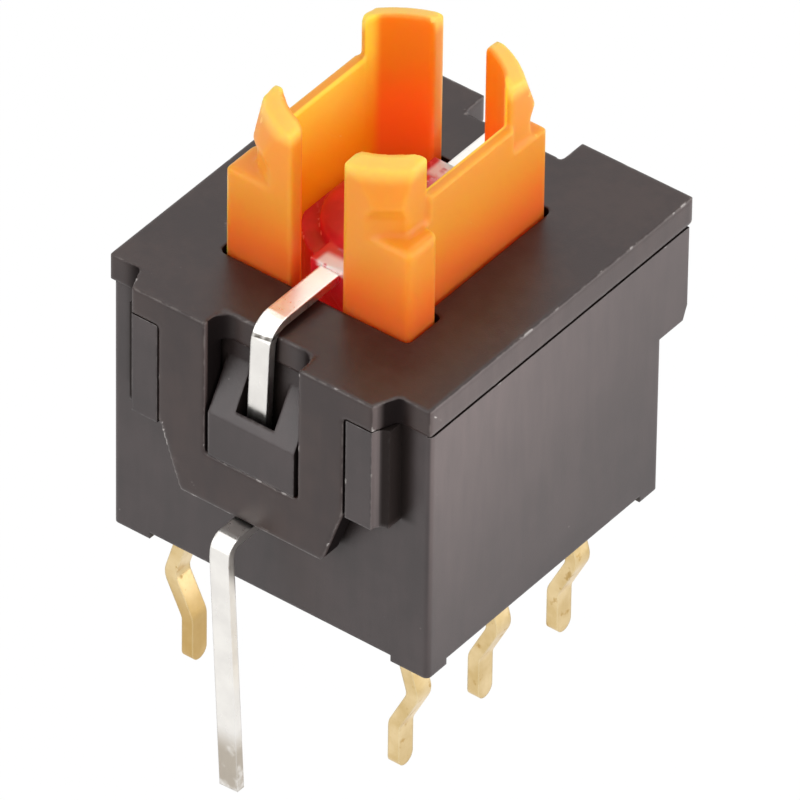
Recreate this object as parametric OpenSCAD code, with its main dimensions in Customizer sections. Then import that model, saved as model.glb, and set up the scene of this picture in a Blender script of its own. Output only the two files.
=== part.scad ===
// Illuminated pushbutton switch for a circuit board
// Two-pole changeover switch with a sprung plunger, a clip-on cover and a lamp in the plunger.
// Origin: middle of the housing on the board surface. X runs along the latch face, Z points up.

/* [Housing] */
// Width of the housing along X
housing_w = 7.69; // [7.3:0.01:8.6]
// Depth of the housing along Y
housing_d = 7.37; // [7.1:0.01:8.2]
// Height of the housing from the board to the cover's underside
housing_h = 6.07; // [5.9:0.01:6.6]
// Radius of the housing's upright corners
corner_r = 0.12; // [0.05:0.01:0.3]
// Thickness of the housing's floor
floor_t = 0.8; // [0.5:0.05:1]
// Height of the corner feet that hold the floor off the board
foot_h = 0.15; // [0.05:0.01:0.3]
// Size of a corner foot along X
foot_w = 0.9; // [0.5:0.05:1.4]
// Size of a corner foot along Y
foot_d = 0.6; // [0.4:0.05:0.7]
// Thickness of the housing's front and rear walls
end_wall = 0.535; // [0.45:0.005:0.6]
// Height of the shadow line under the cover
shadow_h = 0.07; // [0.02:0.01:0.15]
// Depth of the shadow line under the cover
shadow_d = 0.1; // [0.05:0.01:0.2]

/* [Front ribs and rear blocks] */
// How far the front ribs and the cover's apron stand out from the housing
front_reach = 0.625; // [0.5:0.005:0.8]
// Distance from the centre to a front rib's inner side
rib_inner_x = 2.28; // [2.2:0.01:2.5]
// Distance from the centre to a front rib's outer side at its face
rib_outer_x = 2.9; // [2.7:0.01:3.1]
// Width that the rib's outer flank adds down to the housing
rib_flank = 0.24; // [0.05:0.01:0.4]
// Height of the ribs' lower ends above the board
rib_z = 3.67; // [3:0.01:4.5]
// How far the rear blocks stand out from the housing
rear_reach = 0.8; // [0.6:0.01:1]
// Distance from the centre to a rear block's inner side
rear_inner_x = 1.28; // [1.2:0.01:1.6]
// Height of the rear blocks' lower ends above the board
rear_z = 3.76; // [3:0.01:4.5]
// Height of the slope under a rear block's outer edge
rear_slope_h = 0.32; // [0.1:0.01:0.5]
// Depth of the slope under a rear block's outer edge
rear_slope_d = 0.13; // [0.05:0.01:0.3]

/* [Latch wedge] */
// Half width of the wedge that the cover snaps over
wedge_half_w = 1.04; // [0.8:0.01:1.1]
// Height above the board of the wedge's lower edge
wedge_z = 3.52; // [3:0.01:3.8]
// Height above the board where the wedge's ramp starts
ramp_z = 4.57; // [4.2:0.01:5]
// Height above the board where the ramp meets the housing
ramp_top_z = 5.65; // [5.2:0.01:5.9]
// Half width of the channel for the lamp lead
channel_half_w = 0.47; // [0.35:0.01:0.6]
// Thickness of plastic left in front of the channel
channel_lip = 0.13; // [0.1:0.01:0.25]

/* [Cover] */
// Thickness of the cover's plate
plate_t = 0.64; // [0.4:0.01:0.8]
// How far the cover overhangs the housing at its sides
cover_over = 0.03; // [0:0.005:0.1]
// How far the cover's front ears overhang the housing
ear_over = 0.07; // [0:0.01:0.15]
// How far the cover's rear edge overhangs the rear blocks
rear_over = 0.07; // [0:0.01:0.15]
// Gap between the apron's back and the housing
apron_gap = 0.08; // [0.04:0.01:0.12]
// Half width of the cover's front notch and of the apron's window
notch_half_w = 1.13; // [1.1:0.01:1.3]
// Half width of the cover's rear notch
rear_notch_half_w = 1.18; // [1:0.01:1.3]
// Depth of the cover's rear notch
rear_notch_d = 0.64; // [0.4:0.01:0.8]
// Gap between the apron's sides and the ribs
apron_side_gap = 0.07; // [0.03:0.01:0.15]
// Height above the board of the apron's lower edge
apron_z = 2.3; // [1.9:0.01:2.6]
// Height above the board where the apron's corners start to slant
apron_shoulder_z = 3.7; // [3.2:0.01:4.2]
// Width that each slanted corner takes off the apron
apron_slant = 0.48; // [0.2:0.01:0.7]
// Height of the locating lip under the plate
lip_h = 0.4; // [0.2:0.05:0.5]
// Thickness of the locating lip
lip_t = 0.2; // [0.12:0.01:0.24]
// Radius of the two press pegs that hold the cover's rear
peg_r = 0.22; // [0.15:0.01:0.3]
// Length of the press pegs
peg_l = 1.2; // [0.6:0.05:1.6]

/* [Plunger] */
// Distance from the housing's middle to the plunger's axis
axis_y = 0.09; // [0:0.01:0.15]
// Width of the plunger along X between its side walls
plunger_w = 3.8; // [3.7:0.01:4]
// Depth of the plunger along Y
plunger_d = 4.8; // [4.7:0.01:4.9]
// Radius of the plunger's upright corners
plunger_corner_r = 0.13; // [0.05:0.01:0.2]
// How far the two guide keys stand out from the side walls
key_t = 0.33; // [0.1:0.01:0.35]
// Length of a guide key along Y
key_l = 0.91; // [0.6:0.01:1.1]
// Radius of the round bore for the lamp
bore_r = 2.12; // [2:0.01:2.16]
// Thickness of the side walls beside the lamp
side_wall = 0.25; // [0.2:0.01:0.28]
// Half width of the slots for the lamp leads
slot_half_w = 0.62; // [0.5:0.01:0.75]
// Height of the slots' lower ends above the board
slot_z = 6.3; // [6:0.01:6.6]
// Height of the corner blocks above the board
block_z = 8.77; // [8.5:0.01:9]
// Radius of the corner blocks' upper edges
block_edge_r = 0.14; // [0.05:0.01:0.25]
// Height of the side walls above the board
side_z = 9.36; // [9.1:0.01:9.45]
// Height of the four prongs above the board
prong_z = 10.37; // [10.2:0.01:10.6]
// Drop of a prong's top towards its outer edge
prong_slope = 0.11; // [0:0.01:0.2]
// Outer radius of a prong at its top
prong_top_r = 2.52; // [2.4:0.01:2.56]
// Outer radius of a prong's barb
barb_r = 2.75; // [2.7:0.01:2.85]
// Height of the barb's edge above the board
barb_z = 9.48; // [9.4:0.01:9.7]
// Outer radius of a prong below its barb
neck_r = 2.65; // [2.58:0.01:2.68]
// Height of the neck's upper end above the board
neck_z = 9.2; // [9.1:0.01:9.35]
// Distance from the plunger's axis to the ends of the prongs
prong_y = 1.3; // [1.15:0.01:1.4]
// How far the prongs stand back from the side walls' outer faces
prong_inset = 0.08; // [0.04:0.01:0.12]
// Radius of the prongs' upper corners
prong_corner_r = 0.2; // [0.1:0.01:0.4]
// Travel of the plunger
travel = 1.5; // [1:0.05:1.6]
// Clearance left at each end of the travel
stop_gap = 0.04; // [0.02:0.01:0.08]
// Clearance between the plunger and the hole in the cover
slide_gap = 0.06; // [0.04:0.01:0.08]
// Thickness of the flange that keeps the plunger in the housing
flange_t = 1; // [0.8:0.05:1.1]
// How far the flange stands out along X
flange_x = 0.45; // [0.35:0.01:0.5]
// Room between the flange and the cavity's front and rear walls
flange_room = 0.45; // [0.4:0.01:0.55]
// Thickness of the ring that the spring pushes on
ring_t = 0.5; // [0.4:0.05:0.6]
// Free travel left over the ring, below the lamp
lamp_room = 0.3; // [0.2:0.05:0.35]
// Thickness of the wall around the spring
spring_wall = 0.4; // [0.3:0.01:0.45]

/* [Lamp] */
// Clearance between the lamp's lens and the flats of the bore
lens_gap = 0.05; // [0.03:0.01:0.1]
// Height of the lens's rim above the board
lens_z = 7.28; // [7.2:0.01:7.4]
// Height of the low dome on the lens
dome_h = 0.2; // [0.1:0.01:0.3]
// Height above the board of the post that carries the lamp
post_z = 4.7; // [4.6:0.01:4.8]
// Clearance between the post and the spring around it
spring_room = 0.19; // [0.14:0.01:0.25]
// Clearance between the post and the plunger's ring
post_gap = 0.1; // [0.06:0.01:0.15]
// Half width of the lens where a lead comes out
tab_half_w = 0.5; // [0.4:0.01:0.55]
// Distance from the lamp's axis to the lens's lead faces
tab_y = 1.88; // [1.8:0.01:1.92]
// Half width of the steps in the lens's rim over the leads
step_half_w = 0.6; // [0.55:0.01:0.7]
// Distance from the lamp's axis to the steps in the lens's rim
step_y = 1.15; // [1:0.01:1.3]
// Width of a lamp lead
lead_w = 0.45; // [0.35:0.01:0.5]
// Thickness of a lamp lead
lead_t = 0.2; // [0.14:0.01:0.22]
// Height above the board of a lead's upper face
lead_z = 7.05; // [7:0.01:7.1]
// Distance from the lamp's axis to the leads' soldering ends
lead_pitch = 5.02; // [4.9:0.01:5.2]
// Distance from the housing's front to the middle of the front lead's upright run
front_lead_gap = 0.245; // [0.22:0.005:0.265]
// Distance from the housing's rear to the middle of the rear lead's upright run
rear_lead_gap = 0.415; // [0.37:0.005:0.5]
// Height between the apron's lower edge and the leads' jog to their soldering ends
jog_gap = 0.05; // [0.03:0.01:0.1]
// Straight height between a lead's two lower bends
jog_h = 0.2; // [0.1:0.01:0.3]
// Length of the leads below the board surface
lead_drop = 3.87; // [3:0.01:4.5]
// Radius of the leads' upper bends along their middle
lead_bend = 0.42; // [0.3:0.01:0.42]
// Radius of the leads' lower bends along their middle
lead_foot_bend = 0.24; // [0.15:0.01:0.3]
// Sideways lean of the front lead's upright run in degrees
lead_lean = 2.2; // [0:0.1:3]
// Lean of the front lead's soldering end to the other side in degrees
lead_foot_lean = 2.8; // [0:0.1:4]
// Side of the light-emitting chip
chip_w = 0.34; // [0.2:0.01:0.4]
// Thickness of the chip
chip_t = 0.14; // [0.08:0.01:0.18]
// Distance from the lamp's axis to the inner ends of the leads
lead_inner_y = 0.3; // [0.15:0.01:0.4]

/* [Terminals] */
// Pitch of the terminals in a row
pin_pitch = 2.54; // [2.5:0.01:2.6]
// Distance between the two rows at the soldering ends
row_pitch = 5.08; // [5:0.01:5.2]
// How far the middle of the pin pattern lies in front of the housing's middle
pattern_shift = 0.25; // [0:0.01:0.3]
// Width of a terminal's soldering end
pin_w = 0.45; // [0.4:0.01:0.55]
// Thickness of the terminals
pin_t = 0.27; // [0.22:0.01:0.3]
// Length of the terminals below the board surface
pin_drop = 3.36; // [3:0.01:3.8]
// Distance from the plunger's side walls to the blades inside the housing
blade_gap = 0.705; // [0.68:0.005:0.73]
// How far the crest of the kink stands out from the blades' line
kink_reach = 0.25; // [0.15:0.01:0.35]
// Depth below the board surface where the kink starts
kink_start = 0.5; // [0.3:0.01:0.7]
// Depth of the kink's crest below the board surface
kink_z = 1.35; // [1.2:0.01:1.5]
// Height of the slope from the kink's crest to the soldering end
kink_h = 0.92; // [0.7:0.01:1.1]
// Bend radius of the kink along its middle
kink_bend = 0.4; // [0.3:0.01:0.5]
// Length of a terminal's widened blade along Y
blade_l = 1.67; // [1.6:0.01:1.7]
// Length of the common blade along Y
common_l = 1; // [0.7:0.01:1.1]
// Height of the upper blades above the board
blade_top_z = 5.3; // [5.1:0.01:5.4]
// Height of the front blades' lower edge above the board
front_blade_z = 3.7; // [3.65:0.01:3.9]
// Height of the rear blades' upper edge above the board
rear_blade_z = 3.4; // [3.2:0.01:3.5]
// Clearance around the terminals in the floor
pin_fit = 0.02; // [0.01:0.01:0.05]

/* [Contact clips] */
// Thickness of a contact clip's strip
clip_t = 0.1; // [0.08:0.01:0.12]
// Length of a contact clip along Y
clip_l = 3.8; // [3.6:0.05:4]
// Height of a contact clip
clip_h = 1.05; // [0.9:0.01:1.1]
// Pitch of the three fingers
finger_pitch = 1.5; // [1.4:0.01:1.6]
// Width of a finger
finger_w = 0.6; // [0.4:0.01:0.7]
// Outer radius of a finger's bow
finger_r = 0.27; // [0.24:0.01:0.29]
// Gap between a finger's crest and the blades
finger_gap = 0.03; // [0.02:0.01:0.05]
// How far the lips under the clips stand out from the plunger
clip_lip = 0.16; // [0.12:0.01:0.2]
// Clearance around a clip in its seat
clip_fit = 0.02; // [0.01:0.01:0.03]

/* [Return spring] */
// Wire diameter of the return spring
wire_d = 0.22; // [0.15:0.01:0.26]
// Clearance between the return spring and the wall around it
spring_play = 0.09; // [0.05:0.01:0.12]
// Number of working turns
spring_turns = 3; // [2:0.5:3.5]
// Gap between the wires of a closed end turn
coil_gap = 0.03; // [0.02:0.01:0.06]
// Clearance at the spring's ends
spring_gap = 0.02; // [0.01:0.01:0.05]

/* [Hidden] */

black_plastic = [0.27, 0.25, 0.25];
orange_plastic = [0.94, 0.5, 0.12];
red_resin = [0.75, 0.08, 0.12];
gold_plate = [0.87, 0.72, 0.42];
tin_plate = [0.9, 0.89, 0.87];
bronze_strip = [0.8, 0.6, 0.35];
spring_steel = [0.65, 0.66, 0.68];

// Extra length of a cutting shape past the face that it cuts
over = 0.5;
half_w = housing_w / 2;
half_d = housing_d / 2;
face_y = half_d + front_reach;
block_y = half_d + rear_reach;
floor_z = foot_h + floor_t;
plunger_half_w = plunger_w / 2;
plunger_half_d = plunger_d / 2;
blade_x = plunger_half_w + blade_gap + pin_t / 2;
kink_x = blade_x + kink_reach;
cavity_w = 2 * (blade_x + pin_t / 2);
cavity_d = housing_d - 2 * end_wall;
cover_z = housing_h + plate_t;
lead_mid_z = lead_z - lead_t / 2;
apron_back_y = half_d + apron_gap;
apron_half_w = rib_inner_x - apron_side_gap;
window_z = wedge_z - pin_fit;
rear_edge_y = block_y + rear_over;
flange_z = housing_h - stop_gap;
bore_w = plunger_w - 2 * side_wall;
lens_r = bore_w / 2 - lens_gap;
prong_foot_z = block_z - block_edge_r;
ring_z = post_z - lamp_room;
ring_low_z = ring_z - ring_t;
plunger_z = floor_z + travel + stop_gap;
spring_bore_r = plunger_half_w - spring_wall;
spring_r = spring_bore_r - spring_play - wire_d / 2;
post_r = spring_r - wire_d / 2 - spring_room;
clip_z = flange_z - flange_t - clip_h - clip_fit;
clip_half_x = plunger_half_w + clip_fit;
finger_x = blade_x - pin_t / 2 - finger_gap;
front_lead_y = half_d + front_lead_gap;
rear_lead_y = half_d + rear_lead_gap;
exit_z = apron_z - lead_t / 2 - jog_gap;
knee_z = exit_z - lead_foot_bend - jog_h;
pattern_y = -pattern_shift;
tip_x = row_pitch / 2;
smooth = 64;

// Points of a circular arc from one angle to another
function arc_points(centre, r, from_a, to_a, steps) =
    [for (i = [0:steps])
        let (a = from_a + (to_a - from_a) * i / steps)
        [centre[0] + r * cos(a), centre[1] + r * sin(a)]];

// Unit vector from one point to another
function heading(from, to) = (to - from) / norm(to - from);

// Arc that rounds the corner b between the points a and c
function corner_arc(a, b, c, r, steps) =
    let (u = heading(b, a),
         w = heading(b, c),
         opening = acos(u * w),
         reach = r / tan(opening / 2),
         middle = b + heading([0, 0], u + w) * r / sin(opening / 2),
         start = b + u * reach,
         end = b + w * reach,
         from_a = atan2(start[1] - middle[1], start[0] - middle[0]),
         raw_a = atan2(end[1] - middle[1], end[0] - middle[0]),
         turn = raw_a - from_a,
         sweep = turn > 180 ? turn - 360 : (turn < -180 ? turn + 360 : turn))
    arc_points(middle, r, from_a, from_a + sweep, steps);

// A line of points with every inner corner rounded
function rounded_line(points, r, steps = 6) =
    [points[0],
     for (i = [1:len(points) - 2])
        each corner_arc(points[i - 1], points[i], points[i + 1], r, steps),
     points[len(points) - 1]];

// Direction of a line of points at one of its points
function tangent(points, i) =
    heading(points[max(i - 1, 0)], points[min(i + 1, len(points) - 1)]);

// The line moved sideways by a distance
function shifted_line(points, d) =
    [for (i = [0:len(points) - 1])
        let (t = tangent(points, i))
        points[i] + d * [-t[1], t[0]]];

// Closed outline of a strip that follows a line
function strip_outline(points, t) =
    let (one = shifted_line(points, t / 2),
         other = shifted_line(points, -t / 2))
    concat(one, [for (i = [len(other) - 1:-1:0]) other[i]]);

// Rectangle with round corners, drawn about the origin
module rounded_rectangle(w, d, r) {
    square([w - 2 * r, d], center = true);
    square([w, d - 2 * r], center = true);
    for (x = [-1, 1], y = [-1, 1])
        translate([x * (w / 2 - r), y * (d / 2 - r)])
            circle(r, $fn = smooth);
}

// Box that is centred along X and runs between two values along Y and Z
module beam(w, y0, y1, z0, z1) {
    translate([-w / 2, y0, z0])
        cube([w, y1 - y0, z1 - z0]);
}

// Outline in the X-Z plane, extruded along Y about the middle
module across_y(l) {
    rotate([90, 0, 0])
        linear_extrude(l, center = true)
            children();
}

// Outline in the Y-Z plane, extruded along X about the middle
module across_x(l) {
    rotate([90, 0, 90])
        linear_extrude(l, center = true)
            children();
}

// Both mirror images of a shape about the Y-Z plane
module both_sides() {
    children();
    mirror([1, 0, 0])
        children();
}

// Plan outline of the plunger with a guide key on each front corner, grown by a clearance
module plunger_plan(grow) {
    rounded_rectangle(plunger_w + 2 * grow, plunger_d + 2 * grow, plunger_corner_r);
    translate([0, -plunger_half_d + key_l / 2])
        rounded_rectangle(plunger_w + 2 * key_t + 2 * grow, key_l + 2 * grow, plunger_corner_r);
}

// Plan outline of the flange that keeps the plunger in the housing
module flange_plan(grow) {
    square([plunger_w + 2 * flange_x + 2 * grow, cavity_d - 2 * flange_room + 2 * grow], center = true);
}

// Plan of a front rib with its sloping outer flank
module rib_plan() {
    polygon([[rib_inner_x, -half_d + corner_r],
             [rib_inner_x, -face_y],
             [rib_outer_x, -face_y],
             each arc_points([rib_outer_x + rib_flank, -face_y], rib_flank, 180, 90, 6),
             [rib_outer_x + rib_flank, -half_d + corner_r]]);
}

// Wedge that the cover's apron snaps over, with the channel for the lamp lead
module latch_wedge() {
    difference() {
        across_x(2 * wedge_half_w)
            polygon([[-half_d + corner_r, wedge_z],
                     [-face_y, wedge_z],
                     [-face_y, ramp_z],
                     [-half_d, ramp_top_z],
                     [-half_d + corner_r, ramp_top_z]]);
        beam(2 * channel_half_w, -face_y + channel_lip, -half_d, wedge_z - over, housing_h);
    }
}

// Thick rear corner that carries a press peg
module rear_block() {
    difference() {
        translate([(rear_inner_x + half_w) / 2, 0, 0])
            across_x(half_w - rear_inner_x)
                polygon([[half_d - corner_r, rear_z],
                         [block_y - rear_slope_d, rear_z],
                         [block_y, rear_z + rear_slope_h],
                         [block_y, housing_h],
                         [half_d - corner_r, housing_h]]);
        translate([peg_x(), peg_y(), housing_h - peg_l - stop_gap])
            cylinder(r = peg_r + pin_fit, h = peg_l + over, $fn = smooth);
    }
}

// Place of a press peg
function peg_x() = (rear_inner_x + half_w) / 2;
function peg_y() = half_d + rear_reach / 2;

// Slots in the floor for the six terminals, with the room of their uprights above
module terminal_slots() {
    for (side = [-1, 1], place = [-1, 0, 1])
        translate([side * blade_x, pattern_y + place * pin_pitch, 0]) {
            cube([pin_t + 2 * pin_fit, pin_w + 2 * pin_fit, 2 * floor_z + over], center = true);
            cube([pin_t, pin_w + 2 * pin_fit, 2 * housing_h + over], center = true);
        }
}

module housing() {
    color(black_plastic) {
        difference() {
            union() {
                translate([0, 0, foot_h])
                    linear_extrude(housing_h - foot_h)
                        rounded_rectangle(housing_w, housing_d, corner_r);
                both_sides()
                    translate([0, 0, rib_z])
                        linear_extrude(housing_h - rib_z)
                            rib_plan();
                both_sides()
                    rear_block();
                latch_wedge();
            }
            translate([0, 0, floor_z])
                linear_extrude(housing_h)
                    square([cavity_w, cavity_d], center = true);
            terminal_slots();
            shadow_line();
        }
        intersection() {
            linear_extrude(foot_h)
                rounded_rectangle(housing_w, housing_d, corner_r);
            corner_feet();
        }
        translate([0, axis_y, floor_z])
            cylinder(r = post_r, h = post_z - floor_z, $fn = smooth);
    }
}

// Four feet before they are trimmed to the housing's corners
module corner_feet() {
    for (x = [-1, 1], y = [-1, 1])
        translate([x * (half_w - foot_w / 2), y * (half_d - foot_d / 2), foot_h / 2])
            cube([foot_w, foot_d, foot_h], center = true);
}

// Step along the housing's upper side edges that shows as a dark line
module shadow_line() {
    both_sides()
        translate([half_w - shadow_d, -face_y - over, housing_h - shadow_h])
            cube([over, 2 * block_y + 2 * over, over]);
}

// Plan of the cover's plate with its notches
module plate_plan() {
    ear_y = half_d + ear_over;
    side_x = half_w + cover_over;
    difference() {
        union() {
            translate([-side_x, -ear_y])
                square([2 * side_x, ear_y + rear_edge_y]);
            polygon([[-rib_outer_x - rib_flank, -ear_y],
                     [-rib_outer_x, -face_y],
                     [rib_outer_x, -face_y],
                     [rib_outer_x + rib_flank, -ear_y]]);
        }
        translate([-notch_half_w, -face_y - over])
            square([2 * notch_half_w, face_y + over - apron_back_y]);
        translate([-rear_notch_half_w, rear_edge_y - rear_notch_d])
            square([2 * rear_notch_half_w, rear_notch_d + over]);
    }
}

// Front apron with slanted lower corners and the window for the latch wedge
module apron() {
    thick = face_y - apron_back_y;
    translate([0, -(face_y + apron_back_y) / 2, 0])
        difference() {
            across_y(thick)
                polygon([[-apron_half_w, housing_h],
                         [-apron_half_w, apron_shoulder_z],
                         [-apron_half_w + apron_slant, apron_z],
                         [apron_half_w - apron_slant, apron_z],
                         [apron_half_w, apron_shoulder_z],
                         [apron_half_w, housing_h]]);
            beam(2 * notch_half_w, -thick, thick, window_z, housing_h + over);
            beam(2 * channel_half_w, -thick / 2 + channel_lip + lead_t / 2, thick, apron_z - over, window_z + over);
        }
}

// Lip under the plate that centres the cover in the cavity
module locating_lip() {
    lip_w = cavity_w - 2 * slide_gap;
    lip_d = cavity_d - 2 * slide_gap;
    translate([0, 0, housing_h - lip_h])
        linear_extrude(lip_h)
            difference() {
                square([lip_w, lip_d], center = true);
                square([lip_w - 2 * lip_t, lip_d - 2 * lip_t], center = true);
                translate([0, axis_y])
                    flange_plan(slide_gap);
            }
}

module cover() {
    color(black_plastic) {
        difference() {
            translate([0, 0, housing_h])
                linear_extrude(plate_t)
                    plate_plan();
            translate([0, axis_y, housing_h - over])
                linear_extrude(plate_t + 2 * over)
                    plunger_plan(slide_gap);
        }
        apron();
        locating_lip();
        both_sides()
            translate([peg_x(), peg_y(), housing_h - peg_l])
                cylinder(r = peg_r, h = peg_l, $fn = smooth);
    }
}

// Revolved section of the prongs, with the barb that holds a cap
module prong_ring() {
    rotate_extrude($fn = 2 * smooth)
        polygon([[bore_r, prong_foot_z],
                 [neck_r, prong_foot_z],
                 [neck_r, neck_z],
                 [barb_r, barb_z],
                 [prong_top_r, prong_z - prong_slope],
                 [bore_r, prong_z]]);
}

// Upright bar with one rounded upper corner, from x to the wall at far
module prong_side(x, far) {
    square_z = prong_z - prong_corner_r;
    translate([x, prong_foot_z])
        square([far - x, square_z - prong_foot_z]);
    translate([x + prong_corner_r, prong_foot_z])
        square([far - x - prong_corner_r, prong_z - prong_foot_z]);
    translate([x + prong_corner_r, square_z])
        circle(prong_corner_r, $fn = smooth);
}

// Room that the front right prong takes, with round corners at its sides
module prong_room() {
    intersection() {
        across_y(2 * plunger_d)
            prong_side(slot_half_w, plunger_half_w - prong_inset);
        mirror([0, 1, 0])
            across_x(2 * plunger_w)
                prong_side(prong_y, plunger_half_d);
    }
}

// Four prongs on the corner blocks, trimmed so that they pass the cover's hole
module prongs() {
    intersection() {
        prong_ring();
        for (turn = [0, 180])
            rotate(turn)
                both_sides()
                    prong_room();
    }
}

// Side view of the corner blocks with round upper edges
module block_outline(w) {
    translate([-w / 2, flange_z - flange_t])
        square([w, prong_foot_z - flange_z + flange_t]);
    translate([-w / 2 + block_edge_r, prong_foot_z - over])
        square([w - 2 * block_edge_r, block_edge_r + over]);
    for (x = [-1, 1])
        translate([x * (w / 2 - block_edge_r), prong_foot_z])
            circle(block_edge_r, $fn = smooth);
}

// Corner blocks and keys, from the flange up
module corner_blocks() {
    intersection() {
        translate([0, 0, flange_z - flange_t])
            linear_extrude(block_z)
                plunger_plan(0);
        across_y(2 * plunger_d)
            block_outline(plunger_w + 2 * key_t);
        across_x(2 * plunger_w)
            block_outline(plunger_d);
    }
}

// Round bore with two flats that the lamp sits in
module lamp_bore() {
    translate([0, 0, ring_z])
        intersection() {
            cylinder(r = bore_r, h = prong_z, $fn = 2 * smooth);
            beam(bore_w, -barb_r, barb_r, 0, prong_z);
        }
}

module plunger() {
    color(orange_plastic)
        translate([0, axis_y, 0])
            difference() {
                union() {
                    prongs();
                    beam(plunger_w, -prong_y, prong_y, flange_z, side_z);
                    corner_blocks();
                    beam(plunger_w, -plunger_half_d, plunger_half_d, plunger_z, flange_z);
                    translate([0, 0, flange_z - flange_t])
                        linear_extrude(flange_t)
                            flange_plan(0);
                    beam(plunger_w + 2 * clip_lip, -plunger_half_d, plunger_half_d,
                         clip_z - clip_lip - clip_fit, clip_z - clip_fit);
                }
                lamp_bore();
                translate([0, 0, ring_low_z - over])
                    cylinder(r = post_r + post_gap, h = ring_t + 2 * over, $fn = smooth);
                translate([0, 0, plunger_z - over])
                    cylinder(r = spring_bore_r, h = ring_low_z - plunger_z + over, $fn = smooth);
                beam(2 * slot_half_w, -plunger_half_d - over, plunger_half_d + over, slot_z, prong_z);
            }
}

// One wiping finger, a bow on two short arms that bulges towards the blades
module finger() {
    bow_x = finger_x - finger_r;
    translate([0, 0, clip_z + clip_h / 2])
        across_y(finger_w)
            difference() {
                union() {
                    translate([bow_x, 0])
                        circle(finger_r, $fn = smooth);
                    translate([clip_half_x, -finger_r])
                        square([bow_x - clip_half_x, 2 * finger_r]);
                }
                translate([bow_x, 0])
                    circle(finger_r - clip_t, $fn = smooth);
                translate([0, -finger_r + clip_t])
                    square([bow_x, 2 * (finger_r - clip_t)]);
            }
}

// Contact clip on the right of the plunger
module contact_clip() {
    translate([0, pattern_y, 0]) {
        translate([clip_half_x, -clip_l / 2, clip_z])
            cube([clip_t, clip_l, clip_h]);
        for (place = [-1, 0, 1])
            translate([0, place * finger_pitch, 0])
                finger();
    }
}

module contact_clip_right() {
    color(bronze_strip)
        contact_clip();
}

module contact_clip_left() {
    color(bronze_strip)
        mirror([1, 0, 0])
            contact_clip();
}

// Solid body of the lens before the leads and the chip are taken out
module lens_body() {
    dome_r = (lens_r * lens_r + dome_h * dome_h) / (2 * dome_h);
    difference() {
        intersection() {
            translate([0, 0, post_z])
                cylinder(r = lens_r, h = lens_z + dome_h - post_z, $fn = smooth);
            translate([0, 0, lens_z + dome_h - dome_r])
                sphere(dome_r, $fn = smooth);
        }
        for (side = [-1, 1])
            translate([0, side * (step_y + lens_r), lens_z + over])
                cube([2 * step_half_w, 2 * lens_r, 2 * (lens_z + over - lead_z - lead_t / 2)], center = true);
    }
    beam(2 * tab_half_w, -tab_y, tab_y, post_z + lead_t, lead_z + lead_t / 2);
}

module led_lens() {
    color(red_resin)
        difference() {
            translate([0, axis_y, 0])
                lens_body();
            front_lead_pose()
                lead_end(-1);
            lead_end(1);
            chip_shape();
        }
}

// Ribbon that follows a line in the Y-Z plane
module ribbon(line) {
    across_x(lead_w)
        polygon(strip_outline(line, lead_t));
}

// Lean of the front lead about its level run
module front_lead_pose() {
    translate([0, 0, lead_mid_z])
        rotate([0, lead_lean, 0])
            translate([0, 0, -lead_mid_z])
                children();
}

// Place of a lead's inner end; side is -1 at the front and 1 at the rear
function inner_y(side) = axis_y + side * lead_inner_y;
function foot_y(side) = axis_y + side * lead_pitch;

// End of a lead inside the lens
module lead_end(side) {
    ribbon([[inner_y(side), lead_mid_z], [axis_y + side * (tab_y + over), lead_mid_z]]);
}

// Lead from the lamp down to the bend above its soldering end
module lead_body(side, upright_y) {
    ribbon(concat(rounded_line([[inner_y(side), lead_mid_z],
                                [side * upright_y, lead_mid_z],
                                [side * upright_y, (lead_mid_z + exit_z) / 2]], lead_bend),
                  rounded_line([[side * upright_y, (lead_mid_z + exit_z) / 2],
                                [side * upright_y, exit_z],
                                [foot_y(side), exit_z],
                                [foot_y(side), knee_z]], lead_foot_bend)));
}

// Straight soldering end of a lead, turned sideways where it starts
module lead_foot(side, lean) {
    translate([0, 0, knee_z])
        rotate([0, lean, 0])
            translate([0, 0, -knee_z])
                ribbon([[foot_y(side), knee_z + lead_w / 8], [foot_y(side), -lead_drop]]);
}

module led_lead_front() {
    color(tin_plate)
        front_lead_pose() {
            lead_body(-1, front_lead_y);
            lead_foot(-1, -lead_lean - lead_foot_lean);
        }
}

module led_lead_rear() {
    color(tin_plate) {
        lead_body(1, rear_lead_y);
        lead_foot(1, 0);
    }
}

// Chip that sits on the front lead's inner end
module chip_shape() {
    front_lead_pose()
        translate([0, inner_y(-1) - chip_w / 2, lead_z + chip_t / 2])
            cube([chip_w, chip_w, chip_t], center = true);
}

module led_chip() {
    color(bronze_strip)
        chip_shape();
}

// Outline of a terminal's soldering end, seen along X
module pin_outline() {
    translate([0, -pin_drop + pin_w / 2])
        circle(pin_w / 2, $fn = smooth);
    translate([-pin_w / 2, -pin_drop + pin_w / 2])
        square([pin_w, pin_drop - pin_w / 2 + floor_z]);
}

// Terminal on the right with its kinked pin; its blade's outline is the child
module terminal(place) {
    kink = [[blade_x, blade_top_z + over],
            [blade_x, -kink_start],
            [kink_x, -kink_z],
            [tip_x, -kink_z - kink_h],
            [tip_x, -pin_drop - over]];
    translate([0, pattern_y + place * pin_pitch, 0])
        intersection() {
            across_y(2 * blade_l)
                polygon(strip_outline(rounded_line(kink, kink_bend), pin_t));
            across_x(4 * tip_x) {
                pin_outline();
                children();
            }
        }
}

module terminal_front() {
    terminal(-1) {
        translate([-pin_w / 2, 0])
            square([pin_w, blade_top_z]);
        translate([-pin_w / 2, front_blade_z])
            square([blade_l, blade_top_z - front_blade_z]);
    }
}

module terminal_middle() {
    terminal(0)
        translate([-common_l / 2, floor_z])
            square([common_l, blade_top_z - floor_z]);
}

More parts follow.
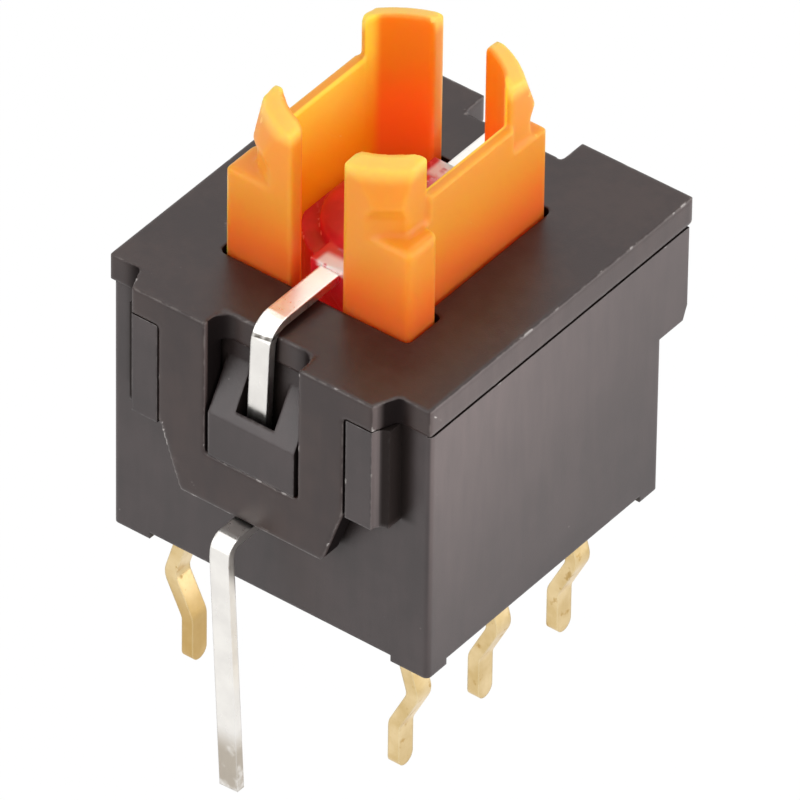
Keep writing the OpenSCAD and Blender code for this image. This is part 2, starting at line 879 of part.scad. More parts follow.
module terminal_rear() {
    terminal(1)
        translate([pin_w / 2 - blade_l, floor_z])
            square([blade_l, rear_blade_z - floor_z]);
}

module terminal_right_front() {
    color(gold_plate)
        terminal_front();
}

module terminal_right_middle() {
    color(gold_plate)
        terminal_middle();
}

module terminal_right_rear() {
    color(gold_plate)
        terminal_rear();
}

module terminal_left_front() {
    color(gold_plate)
        mirror([1, 0, 0])
            terminal_front();
}

module terminal_left_middle() {
    color(gold_plate)
        mirror([1, 0, 0])
            terminal_middle();
}

module terminal_left_rear() {
    color(gold_plate)
        mirror([1, 0, 0])
            terminal_rear();
}

// Height that the spring's wire has gained after some turns; the end turns lie close
function coil_rise(turn, total) =
    let (close = wire_d + coil_gap,
         open = (total - 2 * close) / spring_turns)
    turn < 1 ? close * turn
        : (turn < spring_turns + 1 ? close + open * (turn - 1)
            : total - close * (spring_turns + 2 - turn));

module return_spring() {
    sides = 8;
    turn_steps = 20;
    steps = turn_steps * (spring_turns + 2);
    low = floor_z + spring_gap + wire_d / 2;
    high = ring_low_z - spring_gap - wire_d / 2;
    points = [for (i = [0:steps], k = [0:sides - 1])
        let (turn = i / turn_steps,
             out = [cos(360 * turn), sin(360 * turn), 0],
             a = 360 * k / sides)
        spring_r * out + wire_d / 2 * (cos(a) * out + sin(a) * [0, 0, 1])
            + [0, 0, low + coil_rise(turn, high - low)]];
    skin = [for (i = [0:steps - 1], k = [0:sides - 1])
        let (m = (k + 1) % sides)
        [i * sides + k, i * sides + m, (i + 1) * sides + m, (i + 1) * sides + k]];
    first = [for (k = [sides - 1:-1:0]) k];
    last = [for (k = [0:sides - 1]) steps * sides + k];
    color(spring_steel)
        translate([0, axis_y, 0])
            polyhedron(points, concat([first], skin, [last]), convexity = 10);
}

housing();
cover();
plunger();
return_spring();
contact_clip_left();
contact_clip_right();
led_lens();
led_chip();
led_lead_front();
led_lead_rear();
terminal_left_front();
terminal_left_middle();
terminal_left_rear();
terminal_right_front();
terminal_right_middle();
terminal_right_rear();
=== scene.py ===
# Looks of an illuminated pushbutton switch for a circuit board
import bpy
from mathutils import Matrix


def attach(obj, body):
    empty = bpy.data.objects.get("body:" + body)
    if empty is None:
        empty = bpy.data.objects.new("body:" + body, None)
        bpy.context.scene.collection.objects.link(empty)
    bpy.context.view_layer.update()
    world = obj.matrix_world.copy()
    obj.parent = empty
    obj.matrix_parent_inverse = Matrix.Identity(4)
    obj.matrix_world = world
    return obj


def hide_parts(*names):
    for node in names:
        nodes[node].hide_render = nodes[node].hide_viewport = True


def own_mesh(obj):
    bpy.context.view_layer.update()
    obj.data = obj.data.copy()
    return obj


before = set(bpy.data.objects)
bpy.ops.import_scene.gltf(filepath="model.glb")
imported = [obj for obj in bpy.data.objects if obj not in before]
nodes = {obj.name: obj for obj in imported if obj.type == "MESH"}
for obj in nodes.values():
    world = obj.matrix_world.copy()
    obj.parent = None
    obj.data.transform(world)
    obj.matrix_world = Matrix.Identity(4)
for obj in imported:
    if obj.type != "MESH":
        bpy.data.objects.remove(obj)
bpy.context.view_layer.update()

import math

import bmesh
import bpy
import numpy as np
from mathutils import Matrix, Vector

scene = bpy.context.scene
scene.view_settings.view_transform = "Standard"
mm = 0.001
print("stage: frame loaded with", len(nodes), "nodes")


class Wire:
    # a shader socket that can be used in sums and products
    def __init__(self, paint, socket):
        self.paint = paint
        self.socket = socket

    def sum(self, operation, *values):
        return self.paint.node("ShaderNodeMath", {"operation": operation}, *values)

    def __add__(self, other):
        return self.sum("ADD", self, other)

    def __radd__(self, other):
        return self.sum("ADD", other, self)

    def __sub__(self, other):
        return self.sum("SUBTRACT", self, other)

    def __rsub__(self, other):
        return self.sum("SUBTRACT", other, self)

    def __mul__(self, other):
        return self.sum("MULTIPLY", self, other)

    def __rmul__(self, other):
        return self.sum("MULTIPLY", other, self)

    def __truediv__(self, other):
        return self.sum("DIVIDE", self, other)

    def size(self):
        return self.sum("ABSOLUTE", self)

    def most(self, other):
        return self.sum("MAXIMUM", self, other)

    def ramp(self, low, high):
        # 0 below low, 1 above high, smooth between
        return self.paint.node("ShaderNodeMapRange", {"interpolation_type": "SMOOTHSTEP"}, self, low, high, 0.0, 1.0)


class Paint:
    # a material or a world, and the one method that adds nodes to it
    def __init__(self, name, maker=bpy.data.materials):
        self.material = maker.new(name)
        self.material.use_nodes = True
        self.tree = self.material.node_tree
        self.tree.nodes.clear()

    def link(self, value, socket):
        if isinstance(value, Wire):
            self.tree.links.new(value.socket, socket)
        elif isinstance(value, (tuple, list)) and len(value) == 3 and socket.type == "RGBA":
            socket.default_value = (*value, 1.0)
        else:
            socket.default_value = value

    def node(self, kind, settings=None, *values, out=0, **named):
        made = self.tree.nodes.new(kind)
        for key, value in (settings or {}).items():
            setattr(made, key, value)
        for socket, value in zip(made.inputs, values):
            self.link(value, socket)
        for key, value in named.items():
            self.link(value, made.inputs[key.replace("_", " ")])
        if kind == "ShaderNodeMapRange" or len(made.outputs) == 1:
            out = 0
        return Wire(self, made.outputs[out]) if len(made.outputs) else made

    def mix(self, factor, a, b):
        return self.node("ShaderNodeMixRGB", None, factor, a, b)

    def axes(self, where):
        return [self.node("ShaderNodeSeparateXYZ", None, where, out=i) for i in range(3)]

    def place(self, scale=(1000, 1000, 1000), turn=(0, 0, 0)):
        # object coordinates in millimetres, so that patterns are sized as on the real part
        where = self.node("ShaderNodeTexCoord", None, out=3)
        return self.node("ShaderNodeMapping", None, where, (0, 0, 0), turn, scale)

    def noise(self, where, scale, detail=3.0, roughness=0.55):
        return self.node("ShaderNodeTexNoise", None, Vector=where, Scale=scale, Detail=detail, Roughness=roughness)

    def edge(self, radius):
        # 0 on flat faces, rising towards 1 on edges, from the rounded and the true normal
        soft = self.node("ShaderNodeBevel", {"samples": 6}, radius)
        true = self.node("ShaderNodeNewGeometry", None, out=1)
        dot = self.node("ShaderNodeVectorMath", {"operation": "DOT_PRODUCT"}, soft, true, out=1)
        return soft, 1 - dot

    def crest(self, low, high):
        # 1 on the rounded edges of a finely netted piece
        return self.node("ShaderNodeNewGeometry", None, out=7).ramp(low, high)

    def bump(self, height, strength, distance, normal):
        return self.node("ShaderNodeBump", None, Height=height, Strength=strength, Distance=distance, Normal=normal)

    def seen(self):
        # 1 for rays that come straight from the camera, off a gloss or through clear resin
        straight, mirrored, through = (self.node("ShaderNodeLightPath", None, out=i) for i in (0, 3, 6))
        return straight.most(mirrored).most(through)

    def close(self, shader):
        self.node("ShaderNodeOutputMaterial", None, shader)
        return self.material

    def finish(self, **named):
        return self.close(self.node("ShaderNodeBsdfPrincipled", None, **named))


def mouldedBlack(name, look):
    # dark plastic with a fine spark grain, cloudy tone, faint upright lines and pale specks, with a pale rim and
    # small glints on its edges, partly wear and partly painted highlight; painted light on its side faces, stronger
    # towards the top and the front, and painted shade in its recesses
    paint = Paint(name)
    where = paint.place()
    x, y, z = paint.axes(where)
    soft, edge = paint.edge(look["edge"])
    outer = x.size().ramp(2.4, 2.7).most(y.size().ramp(3.0, 3.3))
    edge = (edge * look["rimGain"]).ramp(0.05, 0.7).most(paint.crest(*look["crest"]) * outer)
    cloud = paint.noise(where, look["cloudScale"], 3.0)
    grain = paint.noise(where, look["grainScale"], 2.0, 0.7)
    lines = paint.noise(paint.place(look["stretch"]), look["lineScale"], 2.0)
    speck = paint.noise(where, look["speckScale"], 1.0).ramp(look["speckFrom"], look["speckFrom"] + 0.04)
    # painted highlight along the edges, partly wear: a broken pale rim and small bright glints
    rim = edge * paint.noise(where, look["rimScale"], 3.0).ramp(0.42, 0.62)
    spark = edge * paint.noise(where, look["sparkScale"], 1.0).ramp(look["sparkFrom"], look["sparkFrom"] + 0.05)
    # painted light: faces turned along x are lighter towards the top and the front, with upright streaks
    faceX, faceY, faceZ = paint.axes(paint.node("ShaderNodeNewGeometry", None, out=1))
    paintedSideLight = faceX.size().ramp(0.5, 0.9) * z.ramp(-1.5, 7.5) * (1 - 0.55 * y.ramp(-4.0, 4.0)) * (0.7 + 0.6 * lines)
    colour = paint.mix((0.7 * cloud + 0.3 * lines).ramp(0.35, 0.65), look["dark"], look["light"])
    colour = paint.mix(paintedSideLight * look["paintedSideLight"], colour, look["paintedSideLightTone"])
    colour = paint.mix(rim * look["rim"], colour, look["wearAndHighlight"])
    colour = paint.mix(spark, colour, look["spark"])
    colour = paint.mix(speck * look["speck"], colour, look["wearAndHighlight"])
    rough = look["roughness"] + 0.12 * (grain - 0.5) + 0.08 * (lines - 0.5) - 0.1 * rim
    normal = paint.bump(grain, look["bump"], 0.00001, soft)
    # painted shade: recesses that occlusion finds and the listed hollows blend into a dark matt shader; open faces
    # stay glossy
    upper = faceZ.ramp(0.5, 0.9)
    unshaded = paint.node("ShaderNodeAmbientOcclusion", {"samples": 8}, Distance=look["recess"], out=1)
    unshaded = (unshaded + look["upper"] * upper).ramp(look["openFrom"], look["openTo"])
    # painted shade in each listed hollow: a band in x, from a front y, between two heights; faces turned up are
    # spared
    for riseX, fullX, easeX, endX, frontY, lowZ, highZ in look["hollows"]:
        band = x.size().ramp(riseX, fullX) * (1 - x.size().ramp(easeX, endX)) * y.ramp(frontY, frontY + 0.05)
        band = band * (-3.6 - y).ramp(0.0, 0.05) * z.ramp(lowZ, lowZ + 0.2) * (1 - z.ramp(highZ - 0.1, highZ))
        unshaded = unshaded * (1 - band * (1 - upper) * look["hollow"])
    glossyOpen = paint.node("ShaderNodeBsdfPrincipled", None, Base_Color=colour, Roughness=rough, IOR=look["ior"],
                       Normal=normal)
    dull = paint.node("ShaderNodeBsdfPrincipled", None, Base_Color=look["shadeTone"], Roughness=0.8, IOR=1.15)
    return paint.close(paint.node("ShaderNodeMixShader", None, unshaded, dull, glossyOpen))


def orangeMoulding(name, look):
    # orange plastic, redder low down; painted light: yellow on the top and on thin edges, lighter and glowing inside
    # the bore
    paint = Paint(name)
    where = paint.place()
    soft, edge = paint.edge(look["edge"])
    x, y, z = paint.axes(where)
    flow = paint.noise(where, 1.1, 3.0)
    grain = paint.noise(where, 26.0, 2.0)
    height = z + 0.5 * (flow - 0.5)
    # 1 on the walls of the bore, 0 outside
    beside = y - look["axisY"]
    away = paint.node("ShaderNodeMath", {"operation": "SQRT"}, x * x + beside * beside)
    inside = (look["boreR"] - away).ramp(0.0, 0.12) * (look["flatX"] - x.size()).ramp(0.0, 0.05)
    outer = paint.mix(height.ramp(look["lowZ"], look["highZ"]), look["deep"], look["orange"])
    # painted light: the top, above topZ, turns yellow
    outer = paint.mix(z.ramp(look["topZ"], look["topZ"] + 0.3), outer, look["top"])
    # painted light inside the bore: lighter higher up, and lighter and yellower on the flat walls than on the prongs
    rise = height.ramp(look["innerLowZ"], look["innerHighZ"])
    prong = paint.mix(rise, look["prongDeep"], look["prongHigh"])
    wall = paint.mix(rise, look["wallDeep"], look["wallHigh"])
    inner = paint.mix(x.size().ramp(1.45, 1.62), prong, wall)
    colour = paint.mix(inside, outer, inner)
    # painted light: thin edges turn yellow where light comes through them
    thin = (edge * look["rimGain"]).ramp(0.02, 0.9).most(paint.crest(*look["crest"]))
    colour = paint.mix(thin * look["rim"], colour, look["yellow"])
    # painted glow: emission inside the bore stands in for light that comes through the plastic
    glow = paint.mix(inside, (0.0, 0.0, 0.0), look["through"])
    return paint.finish(Base_Color=colour, Roughness=look["roughness"] + 0.12 * (flow - 0.5),
                        Emission_Color=glow, Emission_Strength=1.0, IOR=look["ior"],
                        Subsurface_Weight=look["soft"], Subsurface_Radius=look["reach"], Subsurface_Scale=1.0,
                        Normal=paint.bump(grain, look["bump"], 0.00001, soft))


def redResin(name, look):
    # clear deep red resin with faint flow marks
    paint = Paint(name)
    where = paint.place()
    soft, edge = paint.edge(look["edge"])
    x, y, z = paint.axes(where)
    flow = paint.noise(where, 2.0, 3.0)
    colour = paint.mix(flow.ramp(0.3, 0.7), look["deep"], look["red"])
    # painted highlight: paler where the thin resin covers a lead, standing in for the lead's glints seen through it
    thin = (y.size() - look["thinY"]).ramp(0.0, 0.2) * (look["thinX"] - x.size()).ramp(0.0, 0.12)
    thin = thin * (z - look["thinZ"]).ramp(0.0, 0.08) * paint.noise(where, 3.0, 2.0).ramp(0.28, 0.45)
    colour = paint.mix(thin, colour, look["pale"])
    # painted highlight: pink glints along the edges
    rim = paint.crest(*look["crest"]) * paint.noise(where, 3.0, 2.0).ramp(0.3, 0.6)
    # painted glow: emission, stronger on upright walls than on top, for light that the clear resin leads out of its
    # walls
    upright = 1 - paint.axes(paint.node("ShaderNodeNewGeometry", None, out=1))[2].ramp(0.3, 0.8)
    glow = paint.mix(upright, look["glowTop"], look["glowWall"])
    colour = paint.mix(rim * look["rim"], colour, look["pink"])
    return paint.finish(Base_Color=colour, Roughness=look["roughness"] + 0.1 * (flow - 0.5),
                        Emission_Color=glow, Emission_Strength=1.0,
                        Transmission_Weight=look["clear"], IOR=1.53, Subsurface_Weight=look["soft"],
                        Subsurface_Radius=look["reach"], Subsurface_Scale=1.0,
                        Normal=paint.bump(flow, 0.2, 0.00002, soft))


def plated(name, look):
    # plated strip: fine drawing lines along it, cloudy tone and small dull patches
    paint = Paint(name)
    where = paint.place()
    drawn = paint.place(look["stretch"])
    soft, edge = paint.edge(look["edge"])
    cloud = paint.noise(where, look["cloudScale"], 4.0)
    lines = paint.noise(drawn, 14.0, 2.0)
    dull = paint.noise(where, look["dullScale"], 3.0).ramp(look["dullFrom"], look["dullFrom"] + 0.12)
    # duller towards the soldering end
    x, y, z = paint.axes(where)
    low = (look["dullZ"] - z).ramp(0.0, 0.7) * paint.noise(where, 2.2, 3.0).ramp(0.25, 0.50)
    # painted shade: a dark line across the strip where its bend ends, and on the left pins darker lower parts
    bendShade = (look["bendShadeWide"] - (z - look["bendShadeZ"] - 0.12 * x).size()).ramp(0.0, 0.03)
    bendShade = bendShade * paint.noise(where, 4.0, 1.0).ramp(0.25, 0.6)
    # painted shade: the left pins' lower parts are darker, through the tarnish colour
    leftPinShade = look["leftPinShade"] * (-1.0 - x).ramp(0.0, 1.0) * (look["leftPinShadeZ"] - z).ramp(0.0, 0.8)
    dull = dull.most(low).most(leftPinShade)
    colour = paint.mix(cloud.ramp(0.3, 0.7), look["dark"], look["light"])
    colour = paint.mix(dull * look["dull"], colour, look["tarnish"])
    colour = paint.mix(bendShade, colour, look["bendShadeTone"])
    # painted highlight along the edges
    colour = paint.mix((edge * 3.0).ramp(0.05, 0.9) * 0.5, colour, look["glint"])
    rough = look["roughness"] + 0.15 * (lines - 0.5) + 0.2 * dull
    return paint.finish(Base_Color=colour, Metallic=1.0, Roughness=rough,
                        Normal=paint.bump(lines, look["bump"], 0.00001, soft))


# linear colours of the finishes
blackHousing = {"dark": (0.016, 0.007, 0.007), "light": (0.030, 0.017, 0.017), "wearAndHighlight": (0.24, 0.21, 0.20),
                "cloudScale": 0.6, "grainScale": 34.0, "lineScale": 5.0, "stretch": (1000, 1000, 130),
                "speckScale": 7.0, "speckFrom": 0.80, "speck": 0.5, "edge": 0.00008, "rimGain": 3.2,
                "crest": (2.0, 3.0), "rimScale": 5.0, "rim": 0.35, "sparkScale": 2.3, "sparkFrom": 0.70,
                "spark": (0.45, 0.42, 0.40), "paintedSideLight": 0.72, "paintedSideLightTone": (0.175, 0.130, 0.125),
                "shadeTone": (0.014, 0.010, 0.009), "recess": 0.0011, "upper": 0.0, "openFrom": 0.42, "openTo": 0.82,
                "hollows": [(2.94, 3.02, 3.15, 3.60, -4.40, 3.60, 9.0)], "hollow": 0.9,
                "roughness": 0.40, "ior": 1.62, "bump": 0.3}
blackCover = {"dark": (0.017, 0.006, 0.005), "light": (0.030, 0.014, 0.011), "wearAndHighlight": (0.30, 0.26, 0.24),
              "cloudScale": 0.7, "grainScale": 30.0, "lineScale": 5.0, "stretch": (1000, 1000, 160),
              "speckScale": 6.0, "speckFrom": 0.80, "speck": 0.5, "edge": 0.00009, "rimGain": 3.2,
              "crest": (0.52, 0.58), "rimScale": 4.0, "rim": 0.4, "sparkScale": 2.6, "sparkFrom": 0.63,
              "spark": (0.70, 0.65, 0.62), "paintedSideLight": 0.50, "paintedSideLightTone": (0.175, 0.130, 0.125),
              "shadeTone": (0.009, 0.006, 0.006), "recess": 0.0009, "upper": 0.5, "openFrom": 0.42, "openTo": 0.80,
              "hollows": [(2.92, 3.02, 3.15, 3.60, -4.24, 3.60, 9.0), (0.62, 1.05, 1.20, 1.25, -4.24, 3.40, 9.0),
                          (-2.0, -1.0, 8.0, 9.0, -4.24, 0.0, 3.75)], "hollow": 1.0,
              "roughness": 0.34, "ior": 1.52, "bump": 0.25}
orangeLook = {"deep": (0.90, 0.14, 0.020), "orange": (0.72, 0.285, 0.023), "yellow": (0.86, 0.54, 0.13),
              "top": (0.80, 0.50, 0.09), "lowZ": 6.6, "highZ": 8.6, "topZ": 9.9,
              "axisY": 0.09, "boreR": 2.24, "flatX": 1.74, "innerLowZ": 7.3, "innerHighZ": 9.6,
              "prongDeep": (1.0, 0.12, 0.018), "prongHigh": (0.65, 0.19, 0.007),
              "wallDeep": (1.0, 0.36, 0.004), "wallHigh": (0.82, 0.58, 0.060), "through": (0.13, 0.028, 0.001),
              "edge": 0.00012, "rimGain": 3.0, "crest": (0.57, 0.64), "rim": 0.6, "roughness": 0.36, "ior": 1.38,
              "soft": 0.85, "reach": (0.0016, 0.0005, 0.00008), "bump": 0.15}
redLook = {"deep": (0.50, 0.016, 0.026), "red": (0.66, 0.022, 0.034), "pink": (0.98, 0.40, 0.40),
           "pale": (1.0, 0.72, 0.68), "thinY": 1.45, "thinX": 0.38, "thinZ": 6.96, "crest": (0.53, 0.60),
           "glowTop": (0.01, 0.001, 0.001), "glowWall": (0.05, 0.001, 0.002),
           "soft": 0.8, "reach": (0.0015, 0.0001, 0.0001), "edge": 0.00004, "rim": 0.8, "roughness": 0.16,
           "clear": 0.12}
giltLook = {"dark": (0.65, 0.47, 0.21), "light": (0.81, 0.63, 0.35), "tarnish": (0.47, 0.28, 0.062),
            "glint": (0.98, 0.85, 0.55), "cloudScale": 1.4, "dullScale": 4.0, "dullFrom": 0.60, "dull": 0.65,
            "dullZ": -3.2, "bendShadeZ": -9.0, "bendShadeWide": 0.0, "bendShadeTone": (0.10, 0.09, 0.08), "leftPinShade": 0.85,
            "leftPinShadeZ": -1.4, "stretch": (1000, 1000, 120), "edge": 0.00006, "roughness": 0.32, "bump": 0.3}
tinLook = {"dark": (0.81, 0.785, 0.75), "light": (0.91, 0.885, 0.84), "tarnish": (0.37, 0.31, 0.235),
           "glint": (0.98, 0.97, 0.95), "cloudScale": 1.2, "dullScale": 3.0, "dullFrom": 0.72, "dull": 0.75,
           "dullZ": -2.3, "bendShadeZ": 6.74, "bendShadeWide": 0.055, "bendShadeTone": (0.09, 0.08, 0.07), "leftPinShade": 0.0,
           "leftPinShadeZ": -1.2, "stretch": (1000, 1000, 140), "edge": 0.00005, "roughness": 0.30, "bump": 0.06}
bronzeLook = dict(giltLook, dark=(0.50, 0.30, 0.12), light=(0.62, 0.40, 0.18), stretch=(1000, 120, 1000))
wireLook = dict(tinLook, dark=(0.40, 0.41, 0.42), light=(0.55, 0.56, 0.58), stretch=(300, 300, 1000))
chipLook = dict(giltLook, dark=(0.45, 0.38, 0.22), light=(0.60, 0.52, 0.34))

finishes = {"housing": mouldedBlack("moulded black housing", blackHousing),
            "cover": mouldedBlack("satin black cover", blackCover),
            "plunger": orangeMoulding("orange plunger plastic", orangeLook),
            "led_lens": redResin("red lamp resin", redLook),
            "led_chip": plated("chip surface", chipLook),
            "return_spring": plated("drawn spring wire", wireLook),
            "contact_clip": plated("bronze contact strip", bronzeLook),
            "terminal": plated("gilt terminal strip", giltLook),
            "led_lead": plated("tinned lamp lead", tinLook)}

for name, node in nodes.items():
    finish = finishes.get(name) or next(f for key, f in finishes.items() if name.startswith(key))
    node.data.materials.clear()
    node.data.materials.append(finish)
print("stage: finishes on", len(nodes), "nodes")

# moulded pieces with soft edges: the solid's surface as a fine even net, smoothed a little;
# each filler is (outline seen from above, lowest z, highest z), in millimetres
softPlunger = {"voxel": 0.00005, "smooth": 0.5, "passes": 5, "fillers": []}


def filletOutline(cornerX, cornerY, wayX, wayY, radius):
    # a square corner less a quarter disc: the disc's centre lies one radius from the corner each way
    turn = np.linspace(0.0, math.pi / 2, 9)
    arcX = cornerX + wayX * radius * (1 - np.sin(turn))
    arcY = cornerY + wayY * radius * (1 - np.cos(turn))
    backX, backY = cornerX - wayX * 0.06, cornerY - wayY * 0.06
    outline = np.stack([arcX, arcY], axis=1)
    return np.concatenate([outline, [[cornerX, backY], [backX, backY], [backX, cornerY + wayY * radius]][::-1]])


def obroundOutline(radius, halfWidth, centreY):
    # a circle cut off by two upright chords: its x is held between the chords
    turn = np.linspace(0.0, 2 * math.pi, 96, endpoint=False)
    return np.stack([np.clip(radius * np.cos(turn), -halfWidth, halfWidth), centreY + radius * np.sin(turn)], axis=1)


def boxOutline(lowX, lowY, highX, highY):
    return np.array([[lowX, lowY], [highX, lowY], [highX, highY], [lowX, highY]])


def prism(outline, lowZ, highZ):
    # two rings of points: the outline at the low height and at the high one
    low, high = (np.column_stack([outline, np.full(len(outline), z)]) for z in (lowZ, highZ))
    return np.stack([low, high])


def dome(centreY, radius, lowZ, rimZ, topZ):
    # rings round an upright axis: the full radius at the bottom, then radius times cos a at the rim's height
    # plus (top less rim) times sin a, for a from 0 to 86 degrees
    turn = np.linspace(0.0, 2 * math.pi, 96, endpoint=False)
    lift = np.radians(np.linspace(0.0, 86.0, 12))
    reach = np.concatenate([[radius], radius * np.cos(lift)])[:, None]
    height = np.concatenate([[lowZ], rimZ + (topZ - rimZ) * np.sin(lift)])[:, None]
    x = reach * np.cos(turn)
    return np.stack([x, centreY + reach * np.sin(turn), np.broadcast_to(height, x.shape)], axis=-1)


def coil(look):
    # rings along a helix: at each turn t the wire's circle stands at radius r, angle 2 pi t and a height that
    # grows in three straight runs, slowly in the first and last turn and evenly between them
    turns = look["turns"]
    turn = np.linspace(0.0, turns + 2.0, (turns + 2) * 40 + 1)
    total = look["highZ"] - look["lowZ"]
    rise = np.interp(turn, [0.0, 1.0, turns + 1.0, turns + 2.0], [0.0, look["close"], total - look["close"], total])
    around = np.linspace(0.0, 2 * math.pi, 14, endpoint=False)
    out = look["radius"] + look["wire"] / 2 * np.cos(around)
    x = np.cos(2 * math.pi * turn)[:, None] * out
    y = look["axisY"] + np.sin(2 * math.pi * turn)[:, None] * out
    return np.stack([x, y, look["lowZ"] + rise[:, None] + look["wire"] / 2 * np.sin(around)], axis=-1)


def skin(name, rings):
    # quads between neighbouring rings of points in millimetres, shut by the first and the last ring
    count, sides = rings.shape[:2]
    index = np.arange(count * sides).reshape(count, sides)
    after = np.roll(index, -1, axis=1)
    quads = np.stack([index[:-1], after[:-1], after[1:], index[1:]], axis=-1).reshape(-1, 4)
    mesh = bpy.data.meshes.new(name)
    mesh.from_pydata((rings.reshape(-1, 3) * mm).tolist(), [],
                     quads.tolist() + [index[0][::-1].tolist(), index[-1].tolist()])
    return mesh


def softened(name, look):
    # a copy of a node's mesh, merged to one closed surface, or nothing where the piece is made anew,
    # then remeshed with its fillers and smoothed
    shape = bmesh.new()
    if not look.get("anew"):
        shape.from_mesh(nodes[name].data)
        bmesh.ops.remove_doubles(shape, verts=shape.verts, dist=1e-7)
    for rings in [prism(*facts) for facts in look["fillers"]] + [dome(*facts) for facts in look.get("domes", [])]:
        extra = skin("filler", rings)
        shape.from_mesh(extra)
        bpy.data.meshes.remove(extra)
    bmesh.ops.recalc_face_normals(shape, faces=shape.faces)
    mesh = bpy.data.meshes.new(name + "_soft")
    shape.to_mesh(mesh)
    shape.free()
    piece = bpy.data.objects.new(name + "_soft", mesh)
    scene.collection.objects.link(piece)
    net = piece.modifiers.new("net", "REMESH")
    net.mode = "VOXEL"
    net.voxel_size = look["voxel"]
    net.use_smooth_shade = True
    soft = piece.modifiers.new("soft", "SMOOTH")
    soft.factor = look["smooth"]
    soft.iterations = look["passes"]
    made = bpy.data.meshes.new_from_object(piece.evaluated_get(bpy.context.evaluated_depsgraph_get()))
    piece.modifiers.clear()
    piece.data = made
    bpy.data.meshes.remove(mesh)
    print("piece", name, "softened to", len(made.polygons), "faces")
    return piece


def dress(piece, finish, node, body):
    piece.data.materials.append(finishes[finish])
    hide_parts(node)
    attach(piece, body)


dress(softened("plunger", softPlunger), "plunger", "plunger", "plunger_group")
print("stage: plunger softened")

# the cover has rounded inner corners in its front notch, and its apron lies against the left rib
softCover = {"voxel": 0.00005, "smooth": 0.4, "passes": 2,
             "fillers": [(filletOutline(-1.13, -3.765, 1, -1, 0.34), 6.09, 6.69),
                         (filletOutline(1.13, -3.765, -1, -1, 0.34), 6.09, 6.69),
                         (boxOutline(-2.275, -4.30, -2.10, -3.78), 3.72, 6.20)]}
dress(softened("cover", softCover), "cover", "cover", "switch_body")
print("stage: cover softened")

# the lamp's resin: a base with flat sides that fills the plunger's bore, a foot round each lead, and a low dome
softLens = {"voxel": 0.00003, "smooth": 0.5, "passes": 4, "anew": True,
            "fillers": [(obroundOutline(1.76, 1.6, 0.09), 4.72, 6.90),
                        (boxOutline(-0.50, -1.87, 0.50, 2.05), 4.80, 7.12)],
            "domes": [(0.09, 1.40, 6.70, 7.10, 7.48)]}
dress(softened("led_lens", softLens), "led_lens", "led_lens", "switch_body")
print("stage: lamp softened")

# a round coil for the return spring; the real spring is pressed together with the plunger: at full travel its top is
# 1.5 mm lower
springLook = {"turns": 3, "radius": 1.30, "wire": 0.22, "close": 0.25, "lowZ": 1.08, "highZ": 3.77, "axisY": 0.09}
spring = bpy.data.objects.new("return_spring_round", skin("return_spring_round", coil(springLook)))
scene.collection.objects.link(spring)
spring.data.polygons.foreach_set("use_smooth", np.ones(len(spring.data.polygons), dtype=bool))
dress(spring, "return_spring", "return_spring", "switch_body")
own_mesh(spring)
print("stage: spring wound")


# the photograph's camera
cameraFacts = {"azimuth": 37.18, "elevation": 39.495, "roll": 0.752, "distance": 0.31273,
               "target": (0.0, -0.00025, 0.0034), "focalPixels": 16201.2, "centre": (379.98, 374.96)}


def photoCamera(facts):
    # axes of a camera that looks down on the target from its azimuth and elevation, rolled about its view
    az, el, roll = (math.radians(facts[key]) for key in ("azimuth", "elevation", "roll"))
    back = Vector((math.sin(az) * math.cos(el), -math.cos(az) * math.cos(el), math.sin(el)))
    right = Vector((math.cos(az), math.sin(az), 0.0))
    up = back.cross(right)
    turnedRight = math.cos(roll) * right + math.sin(roll) * up
    turnedUp = -math.sin(roll) * right + math.cos(roll) * up
    data = bpy.data.cameras.new("photo camera")
    data.sensor_width = 36.0
    data.lens = facts["focalPixels"] / 800 * 36.0
    data.shift_x = (400 - facts["centre"][0]) / 800
    data.shift_y = (facts["centre"][1] - 400) / 800
    data.clip_start = 0.01
    data.clip_end = 20.0
    camera = bpy.data.objects.new("photo camera", data)
    rotation = Matrix((turnedRight, turnedUp, back)).transposed().to_4x4()
    camera.matrix_world = Matrix.Translation(Vector(facts["target"]) + facts["distance"] * back) @ rotation
    scene.collection.objects.link(camera)
    scene.camera = camera


photoCamera(cameraFacts)
print("stage: camera set")

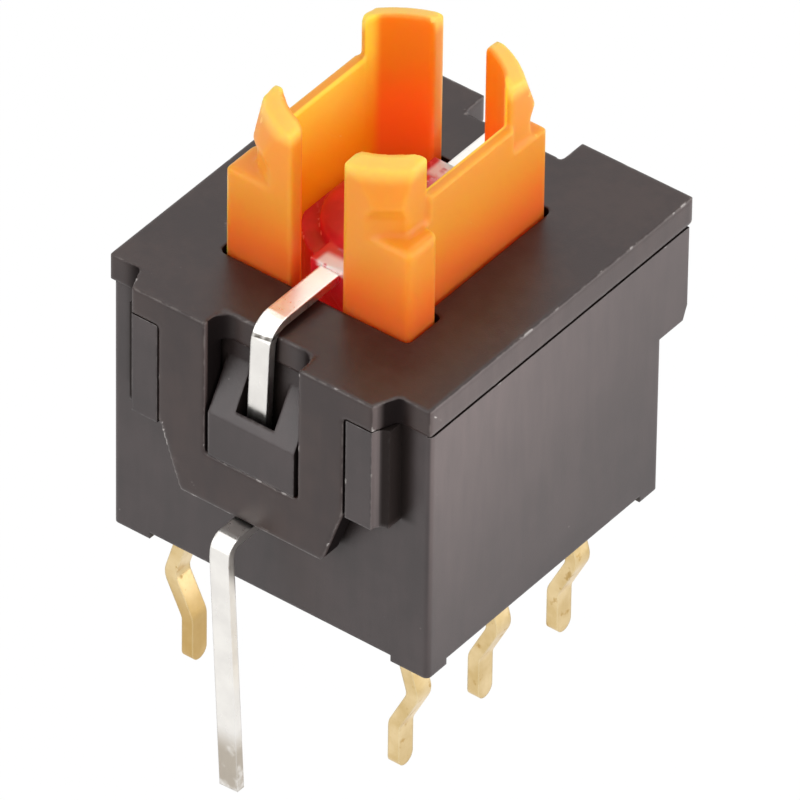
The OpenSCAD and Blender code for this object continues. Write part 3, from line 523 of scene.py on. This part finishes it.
# soft lamps round the part; each is (direction from the part, distance, size, power)
lampFacts = {"right window": ((0.95, 0.05, 0.50), 0.16, 0.12, 0.09),
             "rear right window": ((0.75, 0.65, 0.12), 0.15, 0.12, 0.08),
             "front window": ((-0.25, -0.95, 0.45), 0.20, 0.16, 0.18),
             "top window": ((-0.2, 0.25, 1.0), 0.20, 0.18, 0.10)}
middle = Vector((0.0, 0.0, 3.5 * mm))
for name, (direction, distance, size, power) in lampFacts.items():
    data = bpy.data.lights.new(name, "AREA")
    data.shape = "SQUARE"
    data.size = size
    data.energy = power
    lamp = bpy.data.objects.new(name, data)
    way = Vector(direction).normalized()
    lamp.matrix_world = Matrix.Translation(middle + way * distance) @ way.to_track_quat("Z", "Y").to_matrix().to_4x4()
    scene.collection.objects.link(lamp)

# light that the white room sends onto matt surfaces
skyLevel = 0.62
sky = Paint("soft studio", bpy.data.worlds)
scene.world = sky.material
level = sky.node("ShaderNodeMapRange", None, sky.seen(), 0.0, 1.0, skyLevel, 1.0)
light = sky.node("ShaderNodeBackground", None, (1.0, 1.0, 1.0), level)
sky.node("ShaderNodeOutputWorld", None, light)


def floorSheet(half, z):
    # a flat square grid of points at one height
    grid = np.linspace(-half, half, 9)
    x, y = np.meshgrid(grid, grid, indexing="ij")
    points = np.stack([x.ravel(), y.ravel(), np.full(x.size, z)], axis=1)
    index = np.arange(81).reshape(9, 9)
    faces = np.stack([index[:-1, :-1], index[1:, :-1], index[1:, 1:], index[:-1, 1:]], axis=-1).reshape(-1, 4)
    mesh = bpy.data.meshes.new("studio floor")
    mesh.from_pydata(points.tolist(), [], faces.tolist())
    return bpy.data.objects.new("studio floor", mesh)


floor = floorSheet(0.6, -0.02)
scene.collection.objects.link(floor)
floorPaint = Paint("pale floor")
shade = floorPaint.node("ShaderNodeBsdfDiffuse", None, (0.93, 0.93, 0.93))
glow = floorPaint.node("ShaderNodeEmission", None, (1.0, 1.0, 1.0), 1.0)
both = floorPaint.node("ShaderNodeMixShader", None, floorPaint.seen() * 0.92, shade, glow)
floorPaint.node("ShaderNodeOutputMaterial", None, both)
floor.data.materials.append(floorPaint.material)
print("stage: studio lit")
